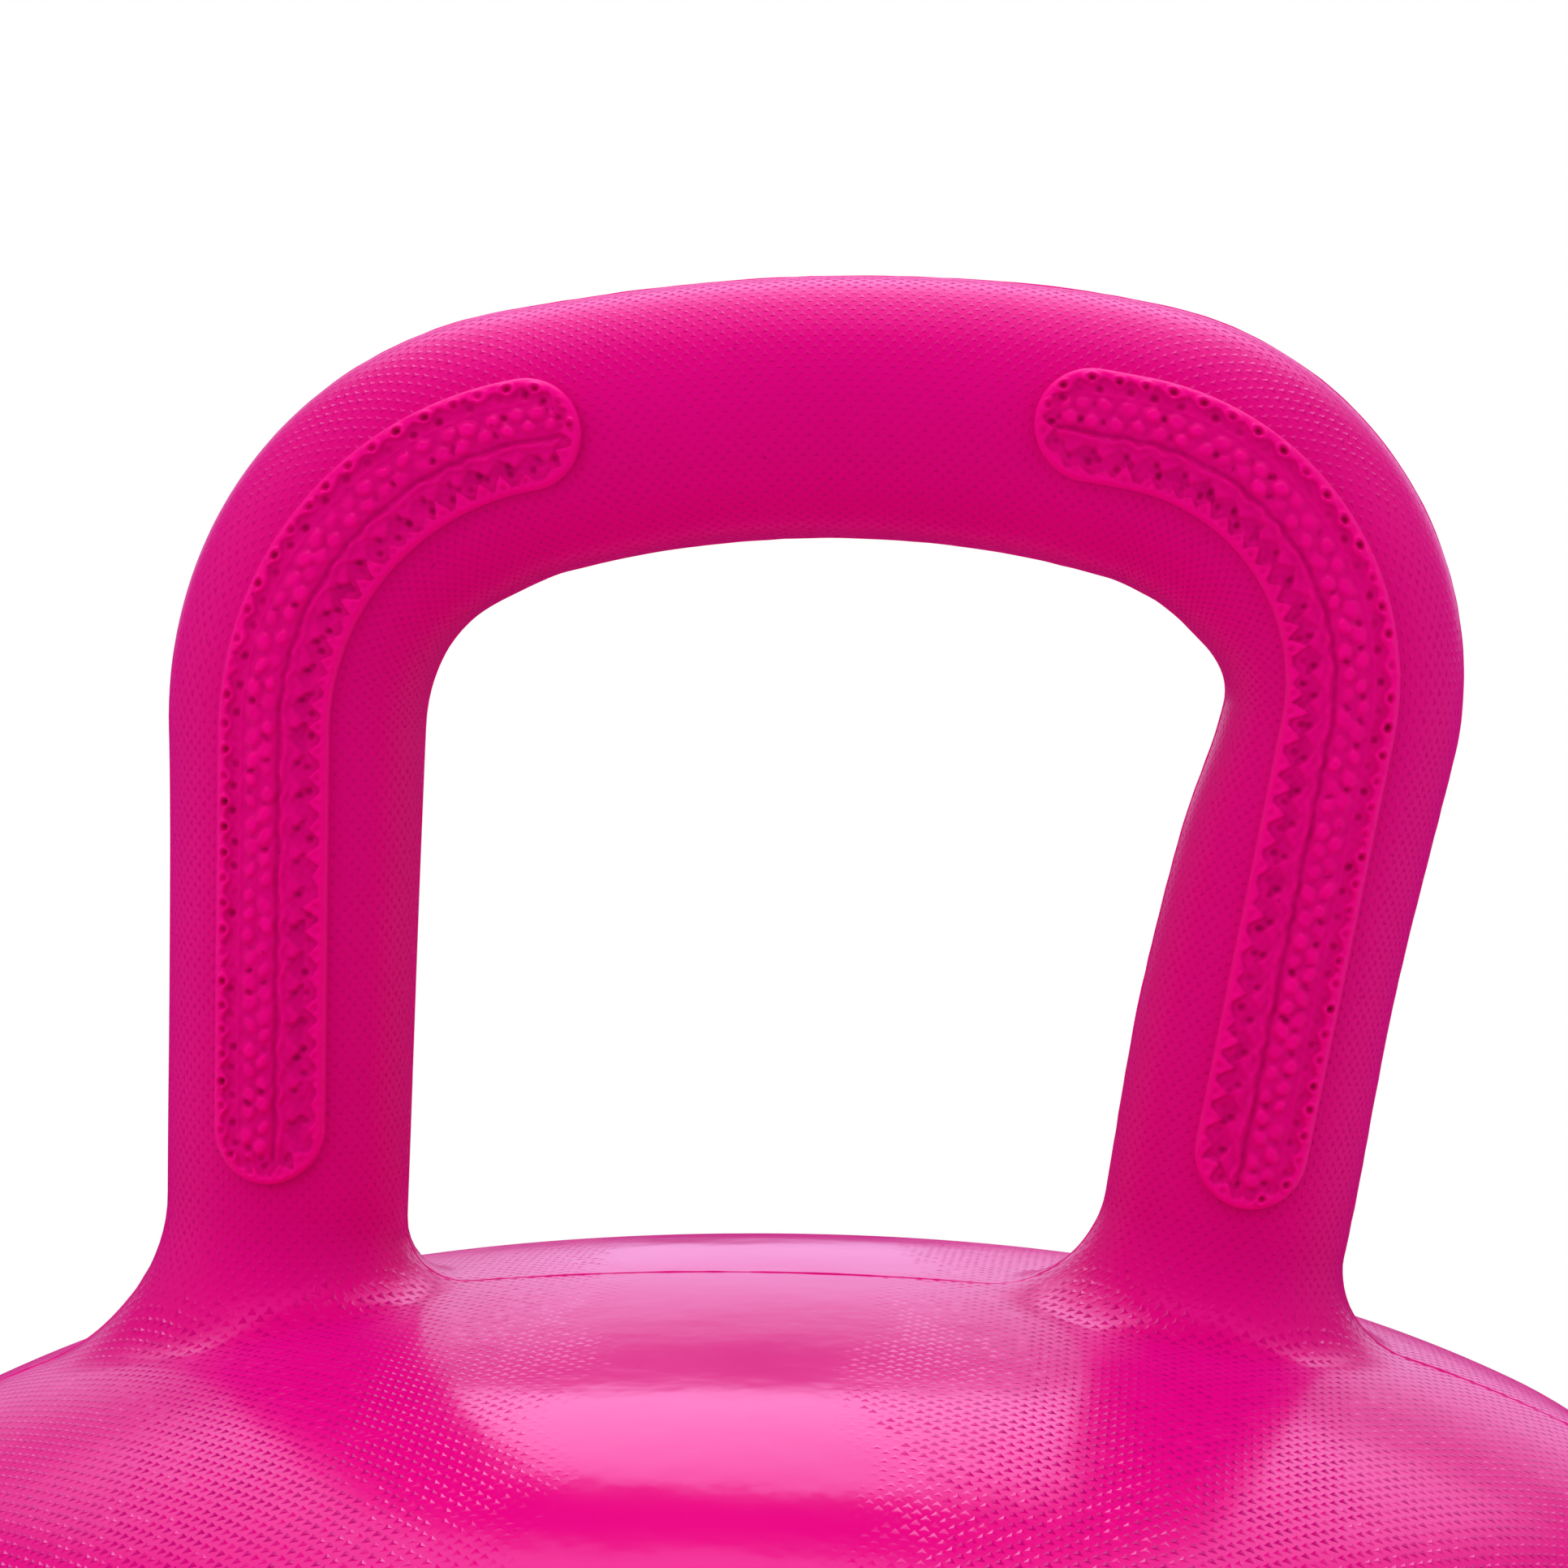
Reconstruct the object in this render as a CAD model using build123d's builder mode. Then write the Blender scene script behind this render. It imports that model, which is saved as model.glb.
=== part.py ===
import os
from math import cos, radians, sin, tan

from build123d import *

os.makedirs("parts", exist_ok=True)

# A hand weight: a moulded vinyl skin, cast full of a heavy mix round a bent steel bar.
# Millimetres and degrees. +Z is up, the floor is Z = 0, the grip runs along X and the front is -Y.

# Body: a squashed ball on a flat base. Its outline is a chain of arcs, each tangent to the next,
# from the crown over the shoulder, round the waist, down the belly and flank to the base.
body_radius = 122.0
crown_radius = 400.0
crown_turn = 8.0
shoulder_turn = 18.0
waist_radius = 38.0
belly_radius = 90.0
belly_turn = 35.0
flank_radius = 150.0
flank_turn = 15.0
base_edge_radius = 18.0
base_height = 1.0
wall = 3.0

# Grip loop: two flared legs and a shallow arch, all leaning a little towards +X.
leg_spread = 116.0
leg_flare = 5.0
corner_height = 98.0
arch_height = 110.6
lean = 0.108
left_corner_radius = 37.0
right_corner_radius = 30.0
arch_straight = 1.0
leg_foot_radius = 14.7
arch_tube_radius = 16.2
leg_root = 26.0
horn_radius = 11.0

# Textured strips, set into the front and back of the grip.
strip_width = 13.6
strip_proud = 1.8
strip_seat = 1.0
left_strip_start = 19.5
left_strip_length = 99.6
right_strip_start = 18.1
right_strip_length = 104.6
bond_gap = 0.1

# Reinforcing bar, bent to the grip with two feet turned in.
rod_radius = 5.0
rod_depth = 78.0
rod_foot_length = 34.0
rod_bend_radius = 22.0

# Cast filling, with the gap that it leaves when it cures.
cure_gap = 0.2

# Filling hole in the base with its snap-in plug and flat seal.
hole_radius = 16.0
pocket_radius = 23.5
pocket_depth = 4.4
seal_thickness = 1.2
flange_thickness = 2.4
plug_gap = 0.25
plug_skirt = 3.0
plug_reach = 6.0
plug_bead = 1.0
plug_slot_width = 4.0
plug_slot_depth = 1.4

# Rubber ring that the weight stands on.
ring_width = 13.0
ring_groove = 2.0
ring_margin = 5.0
ring_edge_radius = 0.8
ring_gap = 0.15


def reach(radius, heading, turn):
    # How far out an arc goes, when its heading below level grows by turn.
    return radius * (sin(radians(heading + turn)) - sin(radians(heading)))


def drop(radius, heading, turn):
    # How far down the same arc goes.
    return radius * (cos(radians(heading)) - cos(radians(heading + turn)))


waist_heading = crown_turn + shoulder_turn
shoulder_reach = (
    body_radius
    - reach(crown_radius, 0, crown_turn)
    - reach(waist_radius, waist_heading, 90 - waist_heading)
)
shoulder_radius = shoulder_reach / reach(1, crown_turn, shoulder_turn)
body_arcs = [
    (crown_radius, crown_turn),
    (shoulder_radius, shoulder_turn),
    (waist_radius, 90 - waist_heading),
    (belly_radius, belly_turn),
    (flank_radius, flank_turn),
    (base_edge_radius, 90 - belly_turn - flank_turn),
]
body_top = base_height
base_flat_radius = 0.0
heading = 0.0
for arc_radius, arc_turn in body_arcs:
    body_top += drop(arc_radius, heading, arc_turn)
    base_flat_radius += reach(arc_radius, heading, arc_turn)
    heading += arc_turn

ring_outer = base_flat_radius - ring_margin
ring_inner = ring_outer - ring_width
corner_half = leg_spread / 2 + corner_height * tan(radians(leg_flare))


def grip_corner(side, height, half):
    # A point of the grip's frame, sheared by the lean.
    return (side * half + lean * height, body_top + height)


def grip_foot(side, depth):
    # A point of a leg's own line, carried down below the top of the body.
    half = leg_spread / 2 - depth * tan(radians(leg_flare))
    return (side * half - lean * depth, body_top - depth)


left_corner = grip_corner(-1, corner_height, corner_half)
right_corner = grip_corner(1, corner_height, corner_half)
arch_corner = grip_corner(0, arch_height, 0)


def half_turn(before, corner, after):
    # Half the angle that a path turns at a corner.
    incoming = Vector(*corner) - Vector(*before)
    outgoing = Vector(*after) - Vector(*corner)
    return radians(incoming.get_angle(outgoing)) / 2


def shoulder_left(side):
    # What a corner's arc leaves of the run from that corner to the arch.
    corner = left_corner if side < 0 else right_corner
    radius = left_corner_radius if side < 0 else right_corner_radius
    bend = half_turn(grip_foot(side, leg_root), corner, arch_corner)
    return (Vector(*arch_corner) - Vector(*corner)).length - radius * tan(bend)


arch_run = min(shoulder_left(-1), shoulder_left(1)) - arch_straight
arch_radius = arch_run / tan(half_turn(left_corner, arch_corner, right_corner))
grip_radii = [left_corner_radius, arch_radius, right_corner_radius]
strip_spans = {
    -1: (left_strip_start, left_strip_length),
    1: (right_strip_start, right_strip_length),
}


def grip_line(depth):
    # Centre line of the grip, both legs carried down by a depth.
    points = [grip_foot(-1, depth), left_corner, arch_corner, right_corner, grip_foot(1, depth)]
    with BuildLine(Plane.XZ) as line:
        FilletPolyline(*points, radius=grip_radii)
    return line.line


def grip_tube(extra):
    # The round grip, thicker by extra all round. Its legs are cones and its arch is a bent tube.
    runs = grip_line(leg_root).edges()
    legs = runs.filter_by(GeomType.LINE).sort_by(SortBy.LENGTH)[-2:]
    bend = Wire([run for run in runs if run not in legs])
    foot_radius = leg_foot_radius + extra
    tube_radius = arch_tube_radius + extra
    with BuildPart() as tube:
        with BuildSketch(Plane(origin=bend @ 0, z_dir=bend % 0)):
            Circle(tube_radius)
        sweep(path=bend)
        for leg in legs:
            foot, head = sorted([leg @ 0, leg @ 1], key=lambda end: end.Z)
            with Locations(Plane(origin=foot, x_dir=(0, -1, 0), z_dir=head - foot)):
                Cone(
                    foot_radius,
                    tube_radius,
                    leg.length,
                    align=(Align.CENTER, Align.CENTER, Align.MIN),
                )
    return tube.part


def envelope(inset):
    # The whole outside, moved inwards by inset: body, grip, horns and the pockets of the base.
    floor = base_height + inset
    with BuildPart() as skin:
        with BuildSketch(Plane.YZ):
            with BuildLine() as outline:
                JernArc((0, body_top - inset), (1, 0), crown_radius - inset, -crown_turn)
                for radius, turn in body_arcs[1:]:
                    bend = outline.edges()[-1]
                    JernArc(bend @ 1, bend % 1, radius - inset, -turn)
                Polyline(outline.edges()[-1] @ 1, (0, floor), (0, body_top - inset))
            make_face()
        revolve(axis=Axis.Z)
        add(grip_tube(-inset))
        straight_or_round = (GeomType.LINE, GeomType.CIRCLE)
        horns = [edge for edge in skin.edges(Select.NEW) if edge.geom_type not in straight_or_round]
        fillet(horns, horn_radius + inset)
        with BuildSketch(Plane.XY.offset(floor)):
            Circle(pocket_radius + inset)
        extrude(amount=pocket_depth, mode=Mode.SUBTRACT)
        with BuildSketch(Plane.XY.offset(floor)):
            Circle(ring_outer + inset)
            Circle(ring_inner - inset, mode=Mode.SUBTRACT)
        extrude(amount=ring_groove, mode=Mode.SUBTRACT)
    return skin.part


def strip_outline(side, spread):
    # A stadium bent along the grip's centre line, wider than the strip by spread on each side.
    start, length = strip_spans[side]
    line = grip_line(0).wires()[0]
    if side < 0:
        path = line.trim(start / line.length, (start + length) / line.length)
    else:
        path = line.trim(1 - (start + length) / line.length, 1 - start / line.length)
    return Face(path.offset_2d(strip_width / 2 + spread, side=Side.BOTH))


def strip_seat_cut(side, facing):
    # What a strip takes out of the skin: its outline, down to the floor of its seat.
    with BuildPart() as cut:
        extrude(strip_outline(side, bond_gap), amount=2 * arch_tube_radius, dir=(0, facing, 0))
        add(grip_tube(-strip_seat - bond_gap), mode=Mode.SUBTRACT)
    return cut.part


# ---- Skin: body and grip moulded in one, with seats for the strips and a hole in the base ----
with BuildPart() as shell:
    add(envelope(0))
    add(envelope(wall), mode=Mode.SUBTRACT)
    with BuildSketch(Plane.XY.offset(base_height)):
        Circle(hole_radius)
    extrude(amount=pocket_depth + 2 * wall, mode=Mode.SUBTRACT)
    for side in (-1, 1):
        for facing in (-1, 1):
            add(strip_seat_cut(side, facing), mode=Mode.SUBTRACT)
shell.part.label = "shell"
export_step(shell.part, "parts/shell.step")

# ---- Textured strips: left and right, front and back, each wrapped part way round the grip ----
strip_names = {
    (-1, -1): "grip_strip_front_left",
    (1, -1): "grip_strip_front_right",
    (-1, 1): "grip_strip_back_left",
    (1, 1): "grip_strip_back_right",
}
for (side, facing), strip_name in strip_names.items():
    with BuildPart() as strip:
        extrude(strip_outline(side, 0), amount=2 * arch_tube_radius, dir=(0, facing, 0))
        add(grip_tube(strip_proud), mode=Mode.INTERSECT)
        add(grip_tube(-strip_seat), mode=Mode.SUBTRACT)
    strip.part.label = strip_name
    export_step(strip.part, f"parts/{strip_name}.step")

# ---- Reinforcing bar: follows the grip's centre line, with a foot turned in under each leg ----
left_heel = grip_foot(-1, rod_depth)
right_heel = grip_foot(1, rod_depth)
with BuildPart() as handle_rod:
    with BuildLine(Plane.XZ) as rod_line:
        FilletPolyline(
            (left_heel[0] + rod_foot_length, left_heel[1]),
            left_heel,
            left_corner,
            arch_corner,
            right_corner,
            right_heel,
            (right_heel[0] - rod_foot_length, right_heel[1]),
            radius=[rod_bend_radius, *grip_radii, rod_bend_radius],
        )
    rod_path = rod_line.wires()[0]
    with BuildSketch(Plane(origin=rod_path @ 0, z_dir=rod_path % 0)):
        Circle(rod_radius)
    sweep(path=rod_path)
handle_rod.part.label = "handle_rod"
export_step(handle_rod.part, "parts/handle_rod.step")

# ---- Plug: a flange that seats on the seal and a hollow skirt with a snap bead ----
hole_floor = base_height + pocket_depth
seal_top = hole_floor
seal_bottom = seal_top - seal_thickness
flange_bottom = seal_bottom - flange_thickness
skirt_radius = hole_radius - plug_gap
skirt_top = hole_floor + wall + plug_reach
bead_height = hole_floor + wall + plug_gap
with BuildPart() as filler_plug:
    with BuildSketch(Plane.XZ):
        with BuildLine():
            Polyline(
                (0, flange_bottom),
                (pocket_radius - plug_gap, flange_bottom),
                (pocket_radius - plug_gap, seal_bottom),
                (skirt_radius, seal_bottom),
                (skirt_radius, bead_height),
                (skirt_radius + plug_bead, bead_height + plug_bead),
                (skirt_radius, skirt_top),
                (skirt_radius - plug_skirt, skirt_top),
                (skirt_radius - plug_skirt, seal_bottom),
                (0, seal_bottom),
                close=True,
            )
        make_face()
    revolve(axis=Axis.Z)
    with BuildSketch(Plane.XY.offset(flange_bottom)):
        for turn in (0, 90):
            SlotOverall(2 * (skirt_radius - plug_skirt), plug_slot_width, rotation=turn)
    extrude(amount=plug_slot_depth, mode=Mode.SUBTRACT)
filler_plug.part.label = "filler_plug"
export_step(filler_plug.part, "parts/filler_plug.step")

# ---- Seal: a flat washer between the plug's flange and the roof of the pocket ----
with BuildPart() as plug_seal:
    with BuildSketch(Plane.XY.offset(seal_bottom)):
        Circle(pocket_radius - plug_gap)
        Circle(hole_radius, mode=Mode.SUBTRACT)
    extrude(amount=seal_thickness)
plug_seal.part.label = "plug_seal"
export_step(plug_seal.part, "parts/plug_seal.step")

# ---- Filling: everything inside the skin, cast round the bar and clear of the plug ----
with BuildPart() as core_fill:
    add(envelope(wall + cure_gap))
    add(handle_rod.part, mode=Mode.SUBTRACT)
    with BuildSketch(Plane.XY.offset(base_height)):
        Circle(skirt_radius + plug_bead + plug_gap)
    extrude(amount=skirt_top + plug_gap - base_height, mode=Mode.SUBTRACT)
core_fill.part.label = "core_fill"
export_step(core_fill.part, "parts/core_fill.step")

# ---- Base ring: a rubber ring bonded into its groove and standing proud of the skin ----
with BuildPart() as base_ring:
    with BuildSketch():
        Circle(ring_outer - ring_gap)
        Circle(ring_inner + ring_gap, mode=Mode.SUBTRACT)
    extrude(amount=base_height + ring_groove - bond_gap)
    fillet(base_ring.edges().group_by(Axis.Z)[0], ring_edge_radius)
base_ring.part.label = "base_ring"
export_step(base_ring.part, "parts/base_ring.step")
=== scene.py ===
from math import atan2, cos, pi, radians, sin, tan

import bmesh
import bpy
import numpy as np
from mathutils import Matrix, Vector


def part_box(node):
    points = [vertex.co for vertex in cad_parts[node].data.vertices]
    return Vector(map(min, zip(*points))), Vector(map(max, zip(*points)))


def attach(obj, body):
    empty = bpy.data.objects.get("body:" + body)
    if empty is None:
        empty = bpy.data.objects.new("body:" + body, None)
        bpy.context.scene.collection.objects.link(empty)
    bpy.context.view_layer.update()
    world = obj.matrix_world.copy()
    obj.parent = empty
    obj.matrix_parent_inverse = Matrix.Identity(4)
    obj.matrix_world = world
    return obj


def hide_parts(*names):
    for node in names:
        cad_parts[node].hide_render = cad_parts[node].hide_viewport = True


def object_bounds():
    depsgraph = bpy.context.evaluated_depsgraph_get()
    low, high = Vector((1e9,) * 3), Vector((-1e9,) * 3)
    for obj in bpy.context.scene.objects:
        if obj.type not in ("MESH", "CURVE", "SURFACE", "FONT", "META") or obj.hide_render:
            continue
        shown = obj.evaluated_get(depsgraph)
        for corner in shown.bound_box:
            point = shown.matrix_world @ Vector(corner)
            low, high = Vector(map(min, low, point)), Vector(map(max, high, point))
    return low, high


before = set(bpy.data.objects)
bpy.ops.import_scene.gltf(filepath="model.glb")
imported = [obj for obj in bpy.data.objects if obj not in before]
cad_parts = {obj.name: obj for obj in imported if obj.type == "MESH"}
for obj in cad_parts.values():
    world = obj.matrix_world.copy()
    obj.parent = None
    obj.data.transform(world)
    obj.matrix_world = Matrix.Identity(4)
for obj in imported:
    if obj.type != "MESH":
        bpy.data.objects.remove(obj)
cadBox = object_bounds()
shellLow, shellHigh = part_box("shell")
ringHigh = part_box("base_ring")[1]
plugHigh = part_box("filler_plug")[1]

# The body's outline is a chain of arcs, (radius, degrees turned), from the crown to the base.
body = {
    "crown": (0.400, 8),
    "shoulderTurn": 18,
    "waist": (0.038, 64),
    "belly": (0.090, 35),
    "flank": (0.150, 15),
    "baseEdge": (0.018, 40),
    "wall": 0.003,
    "ringWidth": 0.013,
    "ringGap": 0.00015,
    "plugGap": 0.00025,
    "ringGroove": 0.002,
    "pocketDepth": 0.0044,
    "holeRadius": 0.016,
}


def reach(radius, heading, turn):
    return radius * (sin(radians(heading + turn)) - sin(radians(heading)))


def outlineArcs():
    waistHeading = body["crown"][1] + body["shoulderTurn"]
    widest = (shellHigh.x - shellLow.x) / 2
    shoulderReach = widest - reach(body["crown"][0], 0, body["crown"][1])
    shoulderReach -= reach(body["waist"][0], waistHeading, 90 - waistHeading)
    shoulder = shoulderReach / reach(1, body["crown"][1], body["shoulderTurn"])
    chain = [body["crown"], (shoulder, body["shoulderTurn"])]
    chain += [body[name] for name in ("waist", "belly", "flank", "baseEdge")]
    drops, heading = [], 0.0
    for radius, turn in chain:
        drops.append(radius * (cos(radians(heading)) - cos(radians(heading + turn))))
        heading += turn
    arcs, rho, z, heading = [], 0.0, shellLow.z + sum(drops), 0.0
    for radius, turn in chain:
        h = radians(heading)
        centre = (rho - radius * sin(h), z - radius * cos(h))
        heading += turn
        end = radians(heading)
        arcs.append((centre, radius, h, end))
        rho, z = centre[0] + radius * sin(end), centre[1] + radius * cos(end)
    return arcs


bodyArcs = outlineArcs()
bodyTop = bodyArcs[0][0][1] + bodyArcs[0][1]


def bodyDistance(rho, z):
    # negative inside the body
    best = np.full(rho.shape, 1e9)
    signed = np.zeros(rho.shape)
    for (cr, cz), radius, start, end in bodyArcs:
        angle = np.clip(np.arctan2(rho - cr, z - cz), start, end)
        dr, dz = rho - cr - radius * np.sin(angle), z - cz - radius * np.cos(angle)
        gap = np.hypot(dr, dz)
        nearer = gap < best
        outward = np.sign(dr * np.sin(angle) + dz * np.cos(angle))
        signed = np.where(nearer, gap * outward, signed)
        best = np.where(nearer, gap, best)
    return signed


def arcLengthFromTop(rho, z):
    # distance over the skin from the middle of the crown
    best = np.full(rho.shape, 1e9)
    length = np.zeros(rho.shape)
    walked = 0.0
    for (cr, cz), radius, start, end in bodyArcs:
        angle = np.clip(np.arctan2(rho - cr, z - cz), start, end)
        gap = np.hypot(rho - cr - radius * np.sin(angle), z - cz - radius * np.cos(angle))
        length = np.where(gap < best, walked + radius * (angle - start), length)
        best = np.minimum(gap, best)
        walked += radius * (end - start)
    return length


grip = {
    "legSpread": 0.116,
    "legFlare": 5.0,
    "cornerHeight": 0.098,
    "archHeight": 0.1106,
    "lean": 0.108,
    "cornerRadii": (0.037, 0.030),
    "archStraight": 0.001,
    "legRoot": 0.026,
    "footRadius": 0.0147,
    "tubeRadius": 0.0162,
    # how much fuller or thinner the moulding is, by distance along the grip
    "outerSwell": [
        (0.0, 0.0), (0.040, -0.0002), (0.063, -0.0005), (0.090, -0.0006), (0.121, 0.0004),
        (0.150, -0.0006), (0.185, -0.0005), (0.212, -0.0003), (0.245, -0.0011), (0.268, -0.0011),
        (0.295, -0.0018), (0.325, -0.0010), (0.363, -0.0007),
    ],
    "innerSwell": [
        (0.0, -0.0006), (0.045, -0.0004), (0.070, -0.0003), (0.100, 0.0), (0.118, 0.0003),
        (0.133, 0.0013), (0.150, 0.0005), (0.181, 0.0), (0.205, 0.0007), (0.228, 0.0020),
        (0.246, 0.0007), (0.265, -0.0027), (0.282, -0.0005), (0.303, 0.0008), (0.330, 0.0006),
        (0.363, 0.0),
    ],
}


def gripRuns():
    # the centre line as straight lines and arcs, and how far each leg runs on below the crown's height
    flare = tan(radians(grip["legFlare"]))
    half = grip["legSpread"] / 2
    root, lean = grip["legRoot"], grip["lean"]

    def point(side, height, out):
        return np.array([side * out + lean * height, bodyTop + height])

    corner = half + grip["cornerHeight"] * flare
    points = [
        point(-1, -root, half - root * flare),
        point(-1, grip["cornerHeight"], corner),
        point(0, grip["archHeight"], 0),
        point(1, grip["cornerHeight"], corner),
        point(1, -root, half - root * flare),
    ]
    ways = [(b - a) / np.linalg.norm(b - a) for a, b in zip(points, points[1:])]
    halves = [np.arccos(a @ b) / 2 for a, b in zip(ways, ways[1:])]
    left, right = grip["cornerRadii"]
    spare = min(
        np.linalg.norm(points[2] - points[1]) - left * tan(halves[0]),
        np.linalg.norm(points[3] - points[2]) - right * tan(halves[2]),
    )
    radii = [left, (spare - grip["archStraight"]) / tan(halves[1]), right]
    runs, at, walked = [], points[0], 0.0
    for i, radius in enumerate(radii):
        cut = radius * tan(halves[i])
        bendStart = points[i + 1] - ways[i] * cut
        length = np.linalg.norm(bendStart - at)
        runs.append(("line", walked, length, at, ways[i]))
        walked += length
        centre = bendStart - np.array([-ways[i][1], ways[i][0]]) * radius
        first = atan2(bendStart[1] - centre[1], bendStart[0] - centre[0])
        length = 2 * halves[i] * radius
        runs.append(("arc", walked, length, centre, (radius, first)))
        walked += length
        at = points[i + 1] + ways[i + 1] * cut
    runs.append(("line", walked, np.linalg.norm(points[-1] - at), at, ways[-1]))
    roots = ((points[0], point(-1, 0, half)), (points[-1], point(1, 0, half)))
    return runs, [np.linalg.norm(p - q) for p, q in roots]


runs, rootLengths = gripRuns()
gripLength = runs[-1][1] + runs[-1][2]


def gripPlace(s):
    # the centre line and its outward normal at distances along it
    place, normal = np.zeros((len(s), 2)), np.zeros((len(s), 2))
    for kind, start, length, a, b in runs:
        here = (s >= start - 1e-9) & (s <= start + length + 1e-9)
        if kind == "line":
            place[here] = a + b * (s[here] - start)[:, None]
            normal[here] = (-b[1], b[0])
        else:
            angle = b[1] - (s[here] - start) / b[0]
            normal[here] = np.stack([np.cos(angle), np.sin(angle)], 1)
            place[here] = a + b[0] * normal[here]
    return place, normal


def nearestOnGrip(x, z):
    # distance along the centre line, and out from it, of the nearest place
    best = np.full(x.shape, 1e9)
    along, across = np.zeros(x.shape), np.zeros(x.shape)
    for kind, start, length, a, b in runs:
        if kind == "line":
            t = np.clip((x - a[0]) * b[0] + (z - a[1]) * b[1], 0, length)
            px, pz, nx, nz = a[0] + b[0] * t, a[1] + b[1] * t, -b[1], b[0]
        else:
            turn = (b[1] - np.arctan2(z - a[1], x - a[0]) + pi) % (2 * pi) - pi
            t = np.clip(turn, 0, length / b[0]) * b[0]
            angle = b[1] - t / b[0]
            nx, nz = np.cos(angle), np.sin(angle)
            px, pz = a[0] + b[0] * nx, a[1] + b[0] * nz
        gap = np.hypot(x - px, z - pz)
        side = np.sign((x - px) * nx + (z - pz) * nz)
        nearer = gap < best
        along = np.where(nearer, start + t, along)
        across = np.where(nearer, side * gap, across)
        best = np.where(nearer, gap, best)
    return along, across


def ease(t):
    t = np.clip(t, 0, 1)
    return t * t * (3 - 2 * t)


def swell(along, knots):
    # a smooth curve through the knots, level at both ends
    places, heights = np.array(knots).T
    slopes = np.gradient(heights, places)
    slopes[[0, -1]] = 0
    i = np.clip(np.searchsorted(places, along) - 1, 0, len(places) - 2)
    span = places[i + 1] - places[i]
    t = np.clip((along - places[i]) / span, 0, 1)
    rise = heights[i] * (1 + 2 * t) * (1 - t) ** 2 + heights[i + 1] * t * t * (3 - 2 * t)
    return rise + span * t * (1 - t) * (slopes[i] * (1 - t) - slopes[i + 1] * t)


def gripRadius(along, angle):
    taper = np.minimum(along / runs[0][2], (gripLength - along) / runs[-1][2])
    radius = grip["footRadius"] + (grip["tubeRadius"] - grip["footRadius"]) * np.clip(taper, 0, 1)
    outward = np.cos(angle)
    radius = radius + swell(along, grip["outerSwell"]) * np.maximum(outward, 0) ** 2
    return radius + swell(along, grip["innerSwell"]) * np.maximum(-outward, 0) ** 2


# How widely each leg melts into the body, on the side of the gap and on the outside.
horns = {
    "leftInner": 0.0085,
    "leftOuter": 0.016,
    "rightInner": 0.013,
    "rightOuter": 0.010,
    "between": 0.04,
}


def skinDistance(points, parts=False):
    # negative inside the whole skin
    x, y, z = points.T
    toBody = bodyDistance(np.hypot(x, y), z)
    along, across = nearestOnGrip(x, z)
    angle = np.arctan2(y, across)
    toGrip = np.hypot(across, y) - gripRadius(along, angle)
    outside = (1 + np.cos(angle)) / 2
    left = horns["leftInner"] + (horns["leftOuter"] - horns["leftInner"]) * outside
    right = horns["rightInner"] + (horns["rightOuter"] - horns["rightInner"]) * outside
    melt = left + (right - left) * ease(x / horns["between"] + 0.5)
    hollow = np.hypot(np.maximum(melt - toBody, 0), np.maximum(melt - toGrip, 0))
    whole = np.maximum(melt, np.minimum(toBody, toGrip)) - hollow
    return (whole, toBody, toGrip, along, angle) if parts else whole


def skinNormal(points, reachOut=0.00005):
    normal = np.zeros_like(points)
    for axis in range(3):
        step = np.zeros(3)
        step[axis] = reachOut
        normal[:, axis] = skinDistance(points + step) - skinDistance(points - step)
    return normal / np.linalg.norm(normal, axis=1)[:, None]


def settle(points, rounds=4):
    for _ in range(rounds):
        points = points - skinNormal(points) * skinDistance(points)[:, None]
    return points


def placePiece(name, mesh, nodes=()):
    mesh.shade_smooth()
    piece = bpy.data.objects.new(name, mesh)
    bpy.context.scene.collection.objects.link(piece)
    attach(piece, "root")
    if nodes:
        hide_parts(*nodes)
    return piece


def newPiece(name, vertices, faces, nodes=()):
    mesh = bpy.data.meshes.new(name)
    mesh.from_pydata(vertices, [], faces)
    mesh.validate()
    return placePiece(name, mesh, nodes)


def ringFaces(first, second, count):
    pairs = [(i, (i + 1) % count) for i in range(count)]
    return [(first + i, first + j, second + j, second + i) for i, j in pairs]


skin = {
    "cell": 0.0017,
    "turnedBelow": 0.022,
    "segments": 360,
    "relaxRounds": 6,
    "relaxShare": 0.5,
    "sharpEdge": 40,
    # how finely the rough shapes are cut: body turns and steps to an arc, grip rings and turns
    "roughBody": (160, 14),
    "roughGrip": (240, 48),
    "baseStep": 0.0018,
    "liningStep": 0.006,
}


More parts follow.
